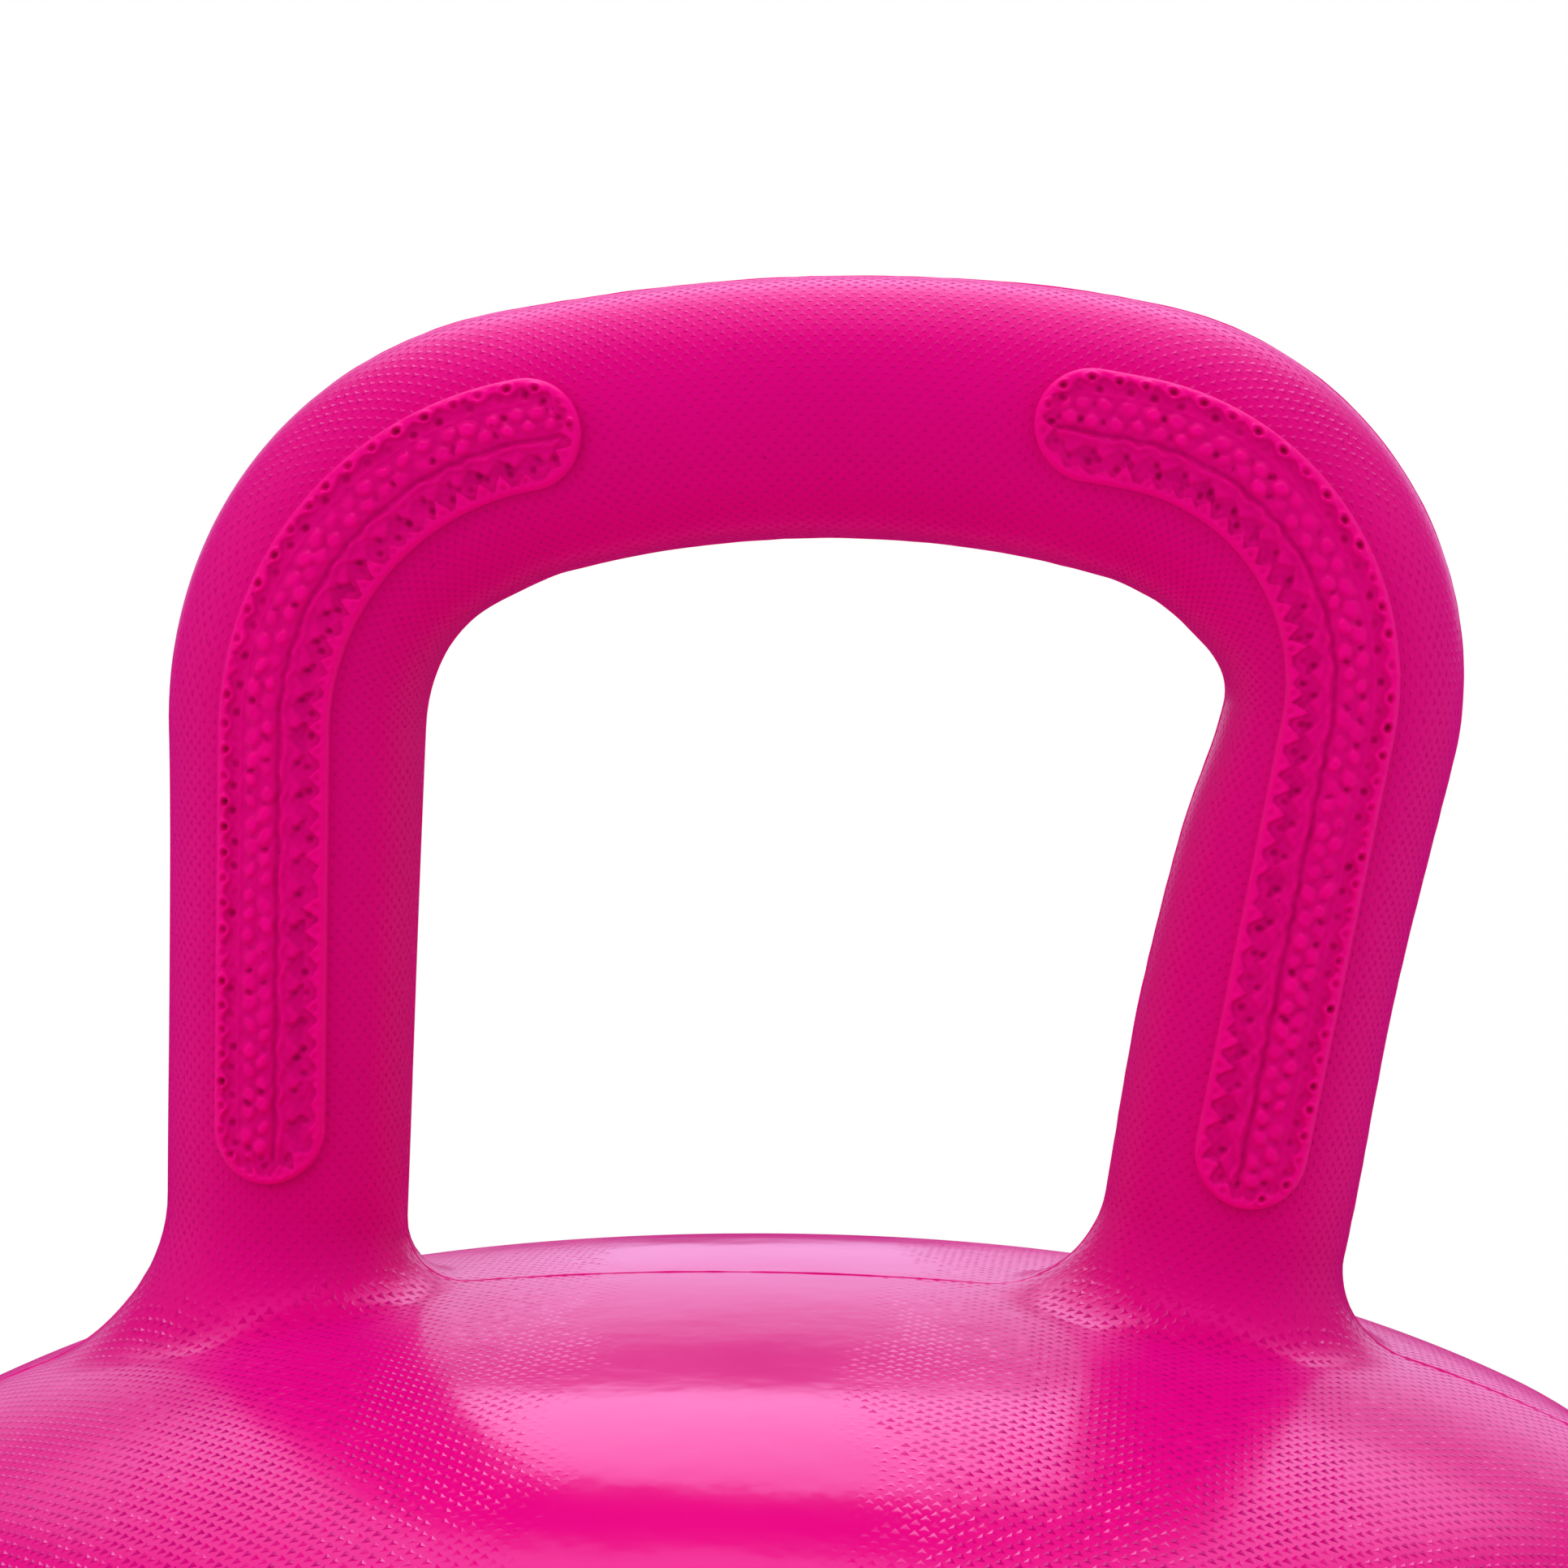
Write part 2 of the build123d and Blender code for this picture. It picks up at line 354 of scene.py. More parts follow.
def roughBody():
    # a turned body and a bent tube, run through each other
    vertices, faces = [(0, 0, bodyTop), (0, 0, shellLow.z)], []
    count, steps = skin["roughBody"]
    turns = [2 * pi * i / count for i in range(count)]
    rings = []
    for (cr, cz), radius, start, end in bodyArcs:
        for t in np.linspace(start, end, steps)[1:]:
            rings.append((cr + radius * sin(t), cz + radius * cos(t)))
    for rho, z in rings:
        vertices += [(rho * cos(t), rho * sin(t), z) for t in turns]
    for i in range(len(rings) - 1):
        faces += ringFaces(2 + (i + 1) * count, 2 + i * count, count)
    last = 2 + (len(rings) - 1) * count
    faces += [(0, 2 + i, 2 + (i + 1) % count) for i in range(count)]
    faces += [(1, last + (i + 1) % count, last + i) for i in range(count)]

    tubeRings, around = skin["roughGrip"]
    base = len(vertices)
    along = np.linspace(0, gripLength, tubeRings)
    angles = np.array([2 * pi * i / around for i in range(around)])
    for s, place, normal in zip(along, *gripPlace(along)):
        radii = gripRadius(np.full(around, s), angles)
        for out, y in zip(radii * np.cos(angles), radii * np.sin(angles)):
            vertices.append((place[0] + normal[0] * out, y, place[1] + normal[1] * out))
    for i in range(tubeRings - 1):
        faces += ringFaces(base + (i + 1) * around, base + i * around, around)
    faces.append(tuple(base + i for i in range(around)))
    faces.append(tuple(reversed(range(len(vertices) - around, len(vertices)))))
    mesh = bpy.data.meshes.new("rough")
    mesh.from_pydata(vertices, [], faces)
    return mesh


def remeshed(mesh):
    piece = bpy.data.objects.new("rough", mesh)
    bpy.context.scene.collection.objects.link(piece)
    remesh = piece.modifiers.new("cells", "REMESH")
    remesh.mode = "VOXEL"
    remesh.voxel_size = skin["cell"]
    graph = bpy.context.evaluated_depsgraph_get()
    fine = bpy.data.meshes.new_from_object(piece.evaluated_get(graph))
    bpy.data.objects.remove(piece)
    return fine


def readPoints(mesh):
    points = np.zeros(len(mesh.vertices) * 3)
    mesh.vertices.foreach_get("co", points)
    return points.reshape(-1, 3)


def relax(mesh):
    # even out the cells, always returning to the skin
    points = settle(readPoints(mesh))
    edges = np.zeros(len(mesh.edges) * 2, int)
    mesh.edges.foreach_get("vertices", edges)
    a, b = edges.reshape(-1, 2).T
    count = np.bincount(np.concatenate([a, b]), minlength=len(points))[:, None]
    for _ in range(skin["relaxRounds"]):
        total = np.zeros_like(points)
        for axis in range(3):
            total[:, axis] = np.bincount(a, points[b, axis], len(points))
            total[:, axis] += np.bincount(b, points[a, axis], len(points))
        points = settle(points + skin["relaxShare"] * (total / count - points), 1)
    points = settle(points, 2)
    mesh.vertices.foreach_set("co", points.ravel())
    mesh.update()


def baseProfile():
    # outside from the cut down to the base, through its groove and pocket, and back up the lining
    low, wall = shellLow.z, body["wall"]
    points = []
    for (cr, cz), radius, start, end in bodyArcs[3:]:
        count = max(3, int(radius * (end - start) / skin["baseStep"]))
        points += [(cr + radius * sin(t), cz + radius * cos(t)) for t in np.linspace(start, end, count)[1:]]
    points = [p for p in points if p[1] < skin["turnedBelow"] - 0.001]
    ringOut = ringHigh.x + body["ringGap"]
    ringIn = ringOut - body["ringWidth"]
    groove = low + body["ringGroove"]
    pocket = plugHigh.x + body["plugGap"]
    roof = low + body["pocketDepth"]
    hole = body["holeRadius"]
    points += [(ringOut, low), (ringOut, groove), (ringIn, groove), (ringIn, low)]
    points += [(pocket, low), (pocket, roof), (hole, roof), (hole, roof + wall)]
    points += [(pocket + wall, roof + wall), (pocket + wall, low + wall), (ringIn - wall, low + wall)]
    points += [(ringIn - wall, groove + wall), (ringOut + wall, groove + wall)]
    lining = []
    for (cr, cz), radius, start, end in bodyArcs:
        r = radius - wall
        count = max(2, int(r * (end - start) / skin["liningStep"]))
        lining += [(cr + r * sin(t), cz + r * cos(t)) for t in np.linspace(start, end, count)[1:]]
    return points + [p for p in reversed(lining) if p[1] > low + wall + 0.0001 or p[0] > ringOut + wall]


def radiusAt(z):
    # how far out the body's flank is at this height, by halving
    between = np.array([shellHigh.x / 2, shellHigh.x])
    for _ in range(50):
        middle = between.mean()
        between[int(bodyDistance(np.array([middle]), np.array([z]))[0] > 0)] = middle
    return between.mean()


def buildShell():
    mesh = remeshed(roughBody())
    relax(mesh)
    cut = skin["turnedBelow"]
    bm = bmesh.new()
    bm.from_mesh(mesh)
    everything = bm.verts[:] + bm.edges[:] + bm.faces[:]
    bmesh.ops.bisect_plane(bm, geom=everything, plane_co=(0, 0, cut), plane_no=(0, 0, 1), clear_inner=True)
    cutRadius = radiusAt(cut)
    rim = [e for e in bm.edges if e.is_boundary]
    for vertex in {v for e in rim for v in e.verts}:
        flat = Vector((vertex.co.x, vertex.co.y)).normalized() * cutRadius
        vertex.co = (flat.x, flat.y, cut)
    count = skin["segments"]
    turns = [2 * pi * i / count for i in range(count)]
    rings = []
    for rho, z in baseProfile():
        rings.append([bm.verts.new((rho * cos(t), rho * sin(t), z)) for t in turns])
    for upper, lower in zip(rings, rings[1:]):
        for i in range(count):
            j = (i + 1) % count
            bm.faces.new((upper[j], upper[i], lower[i], lower[j]))
    top = bm.verts.new((0, 0, bodyTop - body["wall"]))
    for i in range(count):
        bm.faces.new((rings[-1][(i + 1) % count], rings[-1][i], top))
    turnedRim = [bm.edges.get((rings[0][i], rings[0][(i + 1) % count])) for i in range(count)]
    bmesh.ops.bridge_loops(bm, edges=rim + turnedRim)
    bmesh.ops.recalc_face_normals(bm, faces=bm.faces[:])
    for edge in bm.edges:
        if len(edge.link_faces) == 2 and edge.calc_face_angle(0) > radians(skin["sharpEdge"]):
            edge.smooth = False
    finished = bpy.data.meshes.new("vinyl_shell")
    bm.to_mesh(finished)
    bm.free()
    piece = placePiece("vinyl_shell", finished, ["shell"])
    markSkin(piece)
    triangles = sum(len(p.vertices) - 2 for p in finished.polygons)
    print("shell:", len(finished.vertices), "points,", triangles, "triangles")
    return piece


def markSkin(piece):
    # where the grain runs, as values kept on the mesh, and the exact normals of the skin
    mesh = piece.data
    points = readPoints(mesh)
    whole, toBody, toGrip, along, angle = skinDistance(points, parts=True)
    rho = np.maximum(np.hypot(points[:, 0], points[:, 1]), 1e-6)
    length = arcLengthFromTop(rho, points[:, 2])
    fromBody, fromGrip = np.clip(toBody, 0, 1), np.clip(toGrip, 0, 1)
    onGrip = fromBody / np.maximum(fromBody + fromGrip, 1e-6)
    outside = (points[:, 2] > skin["turnedBelow"] + 1e-5) & (np.abs(whole) < 0.0005)
    gripGrid = np.stack([along, np.abs(angle) * grip["tubeRadius"], onGrip * outside], 1)
    unrolled = points[:, :2] * length[:, None] / rho[:, None]
    bodyGrid = np.column_stack([unrolled, (1 - onGrip) * outside])
    for name, values in (("gripGrid", gripGrid), ("bodyGrid", bodyGrid)):
        layer = mesh.attributes.new(name, "FLOAT_VECTOR", "POINT")
        layer.data.foreach_set("vector", values.astype(np.float32).ravel())
    normals = np.zeros_like(points)
    normals[outside] = skinNormal(points[outside])
    mesh.normals_split_custom_set_from_vertices([tuple(n) for n in normals])


seam = {
    "step": 0.0009,
    "width": 0.00022,
    "height": 0.00016,
    "sway": 0.00008,
    "stopShort": 0.25,
    "mostSteps": 4000,
    # across and up, in widths and heights
    "profile": [(-1, -0.4), (-0.55, 0.6), (0, 1), (0.55, 0.6), (1, -0.4)],
    "seeds": (4, 31, 51, 71),
}


def traceSeam(start, heading, stop):
    # walk round the skin in the plane of the grip
    path, at, way = [], np.array(start, float), np.array(heading, float)
    while len(path) < seam["mostSteps"]:
        point = settle(np.array([[at[0], 0.0, at[1]]]), 1)
        normal = skinNormal(point)[0]
        at = np.array([point[0, 0], point[0, 2]])
        path.append((*at, normal[0], normal[2]))
        tangent = np.array([-normal[2], normal[0]])
        way = tangent * (1 if tangent @ way > 0 else -1)
        if len(path) > 20 and stop(at, path[0]):
            break
        at = at + way * seam["step"]
    return np.array(path)


def wander(count, span, seed):
    # slow seeded unevenness between -1 and 1
    dice = np.random.default_rng(seed)
    knots = dice.uniform(-1, 1, count // span + 3)
    return np.interp(np.arange(count) / span, np.arange(len(knots)), knots)


def buildSeam():
    (edgeRho, edgeZ), radius, _, turn = bodyArcs[-1]
    turn -= seam["stopShort"]
    foot = (edgeRho + radius * sin(turn), edgeZ + radius * cos(turn))

    def atOtherFoot(at, first):
        return at[0] > 0 and at[1] < foot[1]

    def backAtStart(at, first):
        return np.hypot(at[0] - first[0], at[1] - first[1]) < seam["step"]

    outer = traceSeam((-foot[0], foot[1]), (-1, 1), atOtherFoot)
    inner = traceSeam((0.0, bodyTop + 0.001), (1, 0), backAtStart)
    vertices, faces, wide = [], [], len(seam["profile"])
    for k, (path, closed) in enumerate(((outer, False), (inner, True))):
        count = len(path)
        slowSeed, fastSeed, swaySeed, broadSeed = (seed + k for seed in seam["seeds"])
        uneven = 0.25 * wander(count, 9, slowSeed) + 0.2 * wander(count, 2, fastSeed)
        tall = seam["height"] * (0.65 + uneven)
        sway = seam["sway"] * wander(count, 14, swaySeed)
        broad = seam["width"] * (0.85 + 0.3 * wander(count, 5, broadSeed))
        base = len(vertices)
        for (x, z, nx, nz), high, shift, half in zip(path, tall, sway, broad):
            for across, up in seam["profile"]:
                rise = up * high
                px = min(max(x + nx * rise, cadBox[0].x), cadBox[1].x)
                vertices.append((px, shift + across * half, min(z + nz * rise, cadBox[1].z)))
        for i in range(count if closed else count - 1):
            here, there = base + i * wide, base + ((i + 1) % count) * wide
            faces += [(here + j, here + j + 1, there + j + 1, there + j) for j in range(wide - 1)]
            faces.append((here + wide - 1, here, there, there + wide - 1))
        if not closed:
            last = base + (count - 1) * wide
            faces.append(tuple(range(base, base + wide)))
            faces.append(tuple(reversed(range(last, last + wide))))
    piece = newPiece("parting_line", vertices, faces)
    print("parting line:", len(vertices), "points")
    return piece


strips = {
    "width": 0.0136,
    "proud": 0.0018,
    "edge": 0.0007,
    "sunk": 0.0005,
    "wrapRadius": 0.016,
    "grain": 0.0002,
    "across": 72,
    "capSteps": 36,
    "weld": 0.000004,
    # start along the leg, above the body, and length
    "left": (0.0195, 0.0996),
    "right": (0.0181, 0.1046),
    "seed": 11,
    # the relief, in millimetres
    "depth": 1.4,
    "rimPitch": 3.1,
    "rimRise": 0.45,
    "rimSlope": 0.45,
    "lobe": 1.75,
    "point": 1.2,
    "rimPit": 0.62,
    "insideFrom": 2.2,
    "pebblePitch": 2.7,
    "pebbleRows": (2.35, 0.55),
    "groove": 0.30,
    "ridge": 0.40,
    "pocketPitch": 4.0,
    "unevenness": (0.07, 0.045),
}


def cellDice(index, seed):
    # one repeatable random number for each cell
    table = np.random.default_rng(seed).random(512)
    return table[(index.astype(int) * 7) % 512]


def bump(distance, radius):
    # a soft mound, 1 in the middle and 0 from the radius on
    return ease(1 - np.abs(distance) / radius)


def stripRelief(along, across, start, end, seed):
    # height over the strip's own level, in metres, of every lobe, pebble, pit and groove
    mm = 0.001
    half = strips["width"] / 2
    past = np.maximum(start - along, 0) + np.maximum(along - end, 0)
    edgeGap = (half - np.hypot(past, across)) / mm
    turn = np.arctan2(past, np.abs(across))
    capWalk = turn * half * 0.8
    walked = np.where(along > end, end + capWalk, np.where(along < start, start - capWalk, along))
    q, s, w = walked / mm, along / mm, across / mm
    height = np.zeros(along.shape)
    side = (across > 0) * 3

    # a raised rim: lobes with ringed pits on the outer side, points on the side of the gap
    outer = ease((w + 0.8) / 1.6)
    pitch = strips["rimPitch"]
    cell = np.floor(q / pitch)
    local = (q / pitch - cell - 0.5) * pitch
    jitter = cellDice(cell + side, seed + 1) - 0.5
    lobes = strips["lobe"] + 0.35 * np.cos(2 * pi * local / pitch) + 0.4 * jitter
    spike = np.maximum(0, 1 - np.abs(local + 0.9 * jitter) / 1.3)
    points = strips["point"] + (1.4 + 1.6 * jitter) * spike
    rim = ease((outer * lobes + (1 - outer) * points - edgeGap) / strips["rimSlope"])
    height += strips["rimRise"] * (rim - 1)
    ring = np.hypot(local + 0.5 * jitter, (edgeGap - 1.15 + 0.25 * jitter) * 1.1)
    depth = (0.3 + 0.55 * cellDice(cell + side, seed + 2)) * (0.25 + 0.75 * outer)
    height += depth * (0.3 * bump(ring - 0.75, 0.3) - bump(ring, strips["rimPit"]))
    cell = np.floor(q / pitch + 0.5)
    local = (q / pitch + 0.5 - cell - 0.5) * pitch
    jitter = cellDice(cell + side, seed + 3) - 0.5
    ring = np.hypot(local + jitter, edgeGap - 2.25 - 0.5 * jitter)
    height -= (0.1 + 0.5 * cellDice(cell + side, seed + 4)) * bump(ring, 0.7)

    # inside it: two staggered rows of plain pebbles, uneven in size, with a pit here and there
    inside = ease((edgeGap - strips["insideFrom"]) / 0.7)
    pitch = strips["pebblePitch"]
    for row, middle in enumerate(strips["pebbleRows"]):
        cell = np.floor(s / pitch + 0.5 * row)
        local = (s / pitch + 0.5 * row - cell - 0.5) * pitch
        local = local + 0.7 * (cellDice(cell, seed + 20 + row) - 0.5)
        sideways = w - middle - 0.5 * (cellDice(cell, seed + 30 + row) - 0.5)
        slant = 0.8 * (cellDice(cell, seed + 40 + row) - 0.5)
        size = 0.85 + 0.35 * cellDice(cell, seed + 50 + row)
        pebble = np.hypot(local + slant * sideways, sideways * 1.15) / size
        tall = 0.25 + 0.3 * cellDice(cell, seed + 60 + row)
        height += inside * tall * ease((1.25 - pebble) / 0.8)
        cell = np.floor(s / pitch + 0.5 * row + 0.5)
        local = (s / pitch + 0.5 * row - cell) * pitch
        pit = np.hypot(local + 0.5 * slant, w - middle + 0.6 * slant)
        height -= inside * np.maximum(0, cellDice(cell, seed + 70 + row) - 0.45) * bump(pit, 0.6)
    height += inside * 0.10 * bump(w - 3.75, 0.3)

    # a narrow groove beside a wavy ridge
    sway = 0.25 * np.sin(s * 1.3 + 2 * np.sin(s * 0.37))
    height -= inside * strips["groove"] * bump(w + 0.85 + 0.4 * sway, 0.45)
    wavy = 0.7 + 0.3 * np.sin(s * 2.1 + seed)
    height += inside * strips["ridge"] * bump(w + 1.6 + sway, 0.45) * wavy

    # a row of three-cornered pockets
    pitch = strips["pocketPitch"]
    cell = np.floor(s / pitch + 0.2)
    local = s / pitch + 0.2 - cell
    slope = np.clip((-w - 1.9) / 3.0, 0, 1)
    pocket = ease((slope * 0.95 - np.abs(local - 0.5)) / 0.2) * bump(w + 3.6, 2.1) ** 0.5
    height += inside * 0.18 * bump(w + 3.6, 1.7) ** 0.5
    height -= inside * (0.35 + 0.25 * cellDice(cell, seed + 8)) * pocket * (0.5 + 0.6 * local)
    notch = np.hypot((local - 0.75) * pitch, (w + 3.5 - 0.8 * cellDice(cell, seed + 9)) * 0.8)
    height -= inside * 0.4 * bump(notch, 0.6)

    # the mould's own unevenness
    slow, fast = strips["unevenness"]
    height += slow * np.sin(s * 0.9 + w * 1.1 + seed) * np.sin(s * 0.23 - w * 0.7)
    height += fast * np.sin(s * 3.7 + 1.3 * w) * np.sin(w * 4.1 - 0.8 * s)
    return height * strips["depth"] * mm * ease((edgeGap - 0.15) / 0.6)


def buildStrip(name, side, facing, seed):
    half = strips["width"] / 2
    first, length = strips["left"] if side < 0 else strips["right"]
    if side < 0:
        start = rootLengths[0] + first
    else:
        start = gripLength - rootLengths[1] - first - length
    end = start + length
    capTurns = np.linspace(0, pi / 2, strips["capSteps"])
    firstCap = start - half * np.cos(capTurns)[:-1]
    lastCap = end + half * np.sin(capTurns)[1:]
    middle = np.linspace(start, end, int(length / strips["grain"]))
    along = np.concatenate([firstCap, middle, lastCap])
    along = np.clip(along, start - half + 2e-5, end + half - 2e-5)
    past = np.maximum(start - along, 0) + np.maximum(along - end, 0)
    reachOut = np.sqrt(np.maximum(half**2 - past**2, 0))
    even = np.linspace(-1, 1, strips["across"])
    share = np.sin(even * pi / 2) * 0.35 + even * 0.65
    columns, rows = len(along), len(share)
    place, normal = gripPlace(along)
    across = reachOut[:, None] * share[None, :]
    alongGrid = np.repeat(along[:, None], rows, 1)
    edgeGap = half - np.hypot(np.repeat(past[:, None], rows, 1), across)
    inward = np.clip(strips["edge"] - edgeGap, 0, strips["edge"])
    rounded = strips["edge"] - np.sqrt(np.maximum(strips["edge"] ** 2 - inward**2, 0))
    relief = stripRelief(alongGrid, across, start, end, seed)
    lift = strips["proud"] - rounded + relief

    def wrap(columnAcross, columnLift):
        turn = np.arccos(np.clip(columnAcross / strips["wrapRadius"], -1, 1))
        radius = gripRadius(alongGrid[:, : columnAcross.shape[1]], turn) + columnLift
        depth = facing * np.sqrt(np.maximum(radius**2 - columnAcross**2, 1e-8))
        x = place[:, 0:1] + normal[:, 0:1] * columnAcross
        z = place[:, 1:2] + normal[:, 1:2] * columnAcross
        return np.stack([x, depth, z], 2)

    top = wrap(across, lift)
    skirtAcross = across[:, [0, -1]]
    skirt = wrap(skirtAcross, np.full(skirtAcross.shape, -strips["sunk"]))
    grid = np.concatenate([skirt[:, :1], top, skirt[:, 1:]], 1)
    rows += 2
    vertices = grid.reshape(-1, 3)
    faces = []
    for i in range(columns - 1):
        for j in range(rows):
            k = (j + 1) % rows
            quad = (i * rows + j, i * rows + k, (i + 1) * rows + k, (i + 1) * rows + j)
            faces.append(quad if facing > 0 else quad[::-1])
    faces.append(tuple(range(rows)))
    faces.append(tuple(range(len(vertices) - 1, len(vertices) - rows - 1, -1)))
    piece = newPiece(name, vertices.tolist(), faces, [name.replace("relief", "grip")])
    # the relief's heights in millimetres, kept on the mesh to paint shade into its hollows
    layer = piece.data.attributes.new("relief", "FLOAT", "POINT")
    heights = np.pad(relief * 1000, ((0, 0), (1, 1)))
    layer.data.foreach_set("value", heights.astype(np.float32).ravel())
    bm = bmesh.new()
    bm.from_mesh(piece.data)
    bmesh.ops.remove_doubles(bm, verts=bm.verts[:], dist=strips["weld"])
    bmesh.ops.recalc_face_normals(bm, faces=bm.faces[:])
    bm.to_mesh(piece.data)
    bm.free()
    print(name, len(piece.data.vertices), "points")
    return piece


def newGroup(name, inputs, outputs):
    group = bpy.data.node_groups.new(name, "ShaderNodeTree")
    for label, kind, value in inputs:
        socket = group.interface.new_socket(label, in_out="INPUT", socket_type=kind)
        if value is not None:
            socket.default_value = value
    for label, kind in outputs:
        group.interface.new_socket(label, in_out="OUTPUT", socket_type=kind)
    return group, group.nodes.new("NodeGroupInput"), group.nodes.new("NodeGroupOutput")


def maths(tree, operation, first, second=None, third=None):
    node = tree.nodes.new("ShaderNodeMath")
    node.operation = operation
    for socket, value in zip(node.inputs, (first, second, third)):
        if isinstance(value, (int, float)):
            socket.default_value = value
        elif value is not None:
            tree.links.new(value, socket)
    return node.outputs[0]


def smoothStep(tree, value, bounds):
    node = tree.nodes.new("ShaderNodeMapRange")
    node.interpolation_type = "SMOOTHSTEP"
    node.inputs["From Min"].default_value, node.inputs["From Max"].default_value = bounds
    tree.links.new(value, node.inputs["Value"])
    return node.outputs["Result"]


def noiseAt(tree, place, scale, detail=2):
    node = tree.nodes.new("ShaderNodeTexNoise")
    node.inputs["Scale"].default_value = scale
    node.inputs["Detail"].default_value = detail
    tree.links.new(place, node.inputs["Vector"])
    return node.outputs["Fac"]


def makeGrainGroup():
    # small three-sided pyramids in staggered rows
    group, given, out = newGroup(
        "pyramid grain",
        [
            ("Across", "NodeSocketFloat", 0.0),
            ("Up", "NodeSocketFloat", 0.0),
            ("Size", "NodeSocketFloat", 0.14),
            ("Unevenness", "NodeSocketFloat", 0.3),
        ],
        [("Height", "NodeSocketFloat")],
    )
    u, v, size, uneven = (given.outputs[n] for n in ("Across", "Up", "Size", "Unevenness"))
    a = maths(group, "ADD", u, v)
    b = maths(group, "SUBTRACT", v, u)
    cellA, cellB = maths(group, "FLOOR", a), maths(group, "FLOOR", b)
    noise = group.nodes.new("ShaderNodeTexWhiteNoise")
    noise.noise_dimensions = "2D"
    joined = group.nodes.new("ShaderNodeCombineXYZ")
    group.links.new(cellA, joined.inputs[0])
    group.links.new(cellB, joined.inputs[1])
    group.links.new(joined.outputs[0], noise.inputs["Vector"])
    localA = maths(group, "SUBTRACT", maths(group, "SUBTRACT", a, cellA), 0.5)
    localB = maths(group, "SUBTRACT", maths(group, "SUBTRACT", b, cellB), 0.5)
    x = maths(group, "MULTIPLY", maths(group, "SUBTRACT", localA, localB), 0.5)
    y = maths(group, "MULTIPLY", maths(group, "ADD", localA, localB), 0.5)
    # the furthest of three slopes, 120 degrees apart
    slant = maths(group, "MULTIPLY", maths(group, "ABSOLUTE", x), 0.866)
    slope = maths(group, "ADD", slant, maths(group, "MULTIPLY", y, 0.5))
    far = maths(group, "MAXIMUM", slope, maths(group, "MULTIPLY", y, -1.0))
    peak = maths(group, "SUBTRACT", 1.0, maths(group, "DIVIDE", far, size))
    peak = maths(group, "MAXIMUM", peak, 0.0)
    weight = maths(group, "SUBTRACT", 1.0, maths(group, "MULTIPLY", noise.outputs["Value"], uneven))
    group.links.new(maths(group, "MULTIPLY", peak, weight), out.inputs["Height"])
    return group


mottleLook = {
    "cloudScale": 45,
    "cloudDetail": 4,
    "speckScale": 150,
    "speckSize": 0.035,
    "speckDark": 0.3,
}


def makeMottleGroup():
    # cloudy unevenness and tiny specks, as in moulded stuff
    group, given, out = newGroup(
        "vinyl mottle",
        [
            ("Vector", "NodeSocketVector", None),
            ("Base", "NodeSocketColor", (0.7, 0.0, 0.2, 1)),
            ("Cloud", "NodeSocketFloat", 0.08),
        ],
        [("Color", "NodeSocketColor"), ("Cloudiness", "NodeSocketFloat")],
    )
    cloud = noiseAt(group, given.outputs["Vector"], mottleLook["cloudScale"], mottleLook["cloudDetail"])
    specks = group.nodes.new("ShaderNodeTexVoronoi")
    specks.inputs["Scale"].default_value = mottleLook["speckScale"]
    group.links.new(given.outputs["Vector"], specks.inputs["Vector"])
    speck = maths(group, "LESS_THAN", specks.outputs["Distance"], mottleLook["speckSize"])
    drift = maths(group, "SUBTRACT", cloud, 0.5)
    shade = maths(group, "MULTIPLY_ADD", drift, given.outputs["Cloud"], 1.0)
    shade = maths(group, "SUBTRACT", shade, maths(group, "MULTIPLY", speck, mottleLook["speckDark"]))
    tint = group.nodes.new("ShaderNodeVectorMath")
    tint.operation = "SCALE"
    group.links.new(given.outputs["Base"], tint.inputs[0])
    group.links.new(shade, tint.inputs["Scale"])
    group.links.new(tint.outputs[0], out.inputs["Color"])
    group.links.new(cloud, out.inputs["Cloudiness"])
    return group


grainGroup, mottleGroup = makeGrainGroup(), makeMottleGroup()

vinylLook = {
    "base": (0.66, 0.0006, 0.180, 1),
    "sheen": 0.55,
    "sheenTint": (1.0, 0.0, 0.45, 1),
    "specularTint": (1.0, 0.03, 0.55, 1),
    "ior": 1.5,
    "gripRoughness": 0.25,
    "bodyRoughness": 0.18,
    "smoothRoughness": 0.11,
    "sheenRoughness": 0.45,
    "cloud": 0.10,
    "cloudRoughness": 0.05,
    "ripple": 0.00025,
    # the three-cornered grain: its height, the pitch of its rows, its size in a cell and unevenness
    "gripGrain": 0.00017,
    "gripPitch": 0.00166,
    "gripPyramid": (0.17, 0.35),
    "bodyGrain": 0.00038,
    "bodyPitch": 0.0021,
    "bodyPyramid": (0.17, 0.8),
    # where the body's grain dies away towards the middle of the crown, and how raggedly
    "smoothCrown": (0.012, 0.044),
    "raggedScale": 45,
    "raggedSway": 0.022,
}


def newMaterial(name, base, roughness, **sockets):
    material = bpy.data.materials.new(name)
    material.use_nodes = True
    shader = material.node_tree.nodes["Principled BSDF"]
    shader.inputs["Base Color"].default_value = base
    shader.inputs["Roughness"].default_value = roughness
    for label, value in sockets.items():
        shader.inputs[label.replace("_", " ")].default_value = value
    return material, material.node_tree, shader


def objectPlace(tree):
    return tree.nodes.new("ShaderNodeTexCoord").outputs["Object"]


def addMottle(tree, shader, base, cloud):
    mottle = tree.nodes.new("ShaderNodeGroup")
    mottle.node_tree = mottleGroup
    mottle.inputs["Base"].default_value = base
    mottle.inputs["Cloud"].default_value = cloud
    tree.links.new(objectPlace(tree), mottle.inputs["Vector"])
    tree.links.new(mottle.outputs["Color"], shader.inputs["Base Color"])
    return mottle.outputs["Cloudiness"]


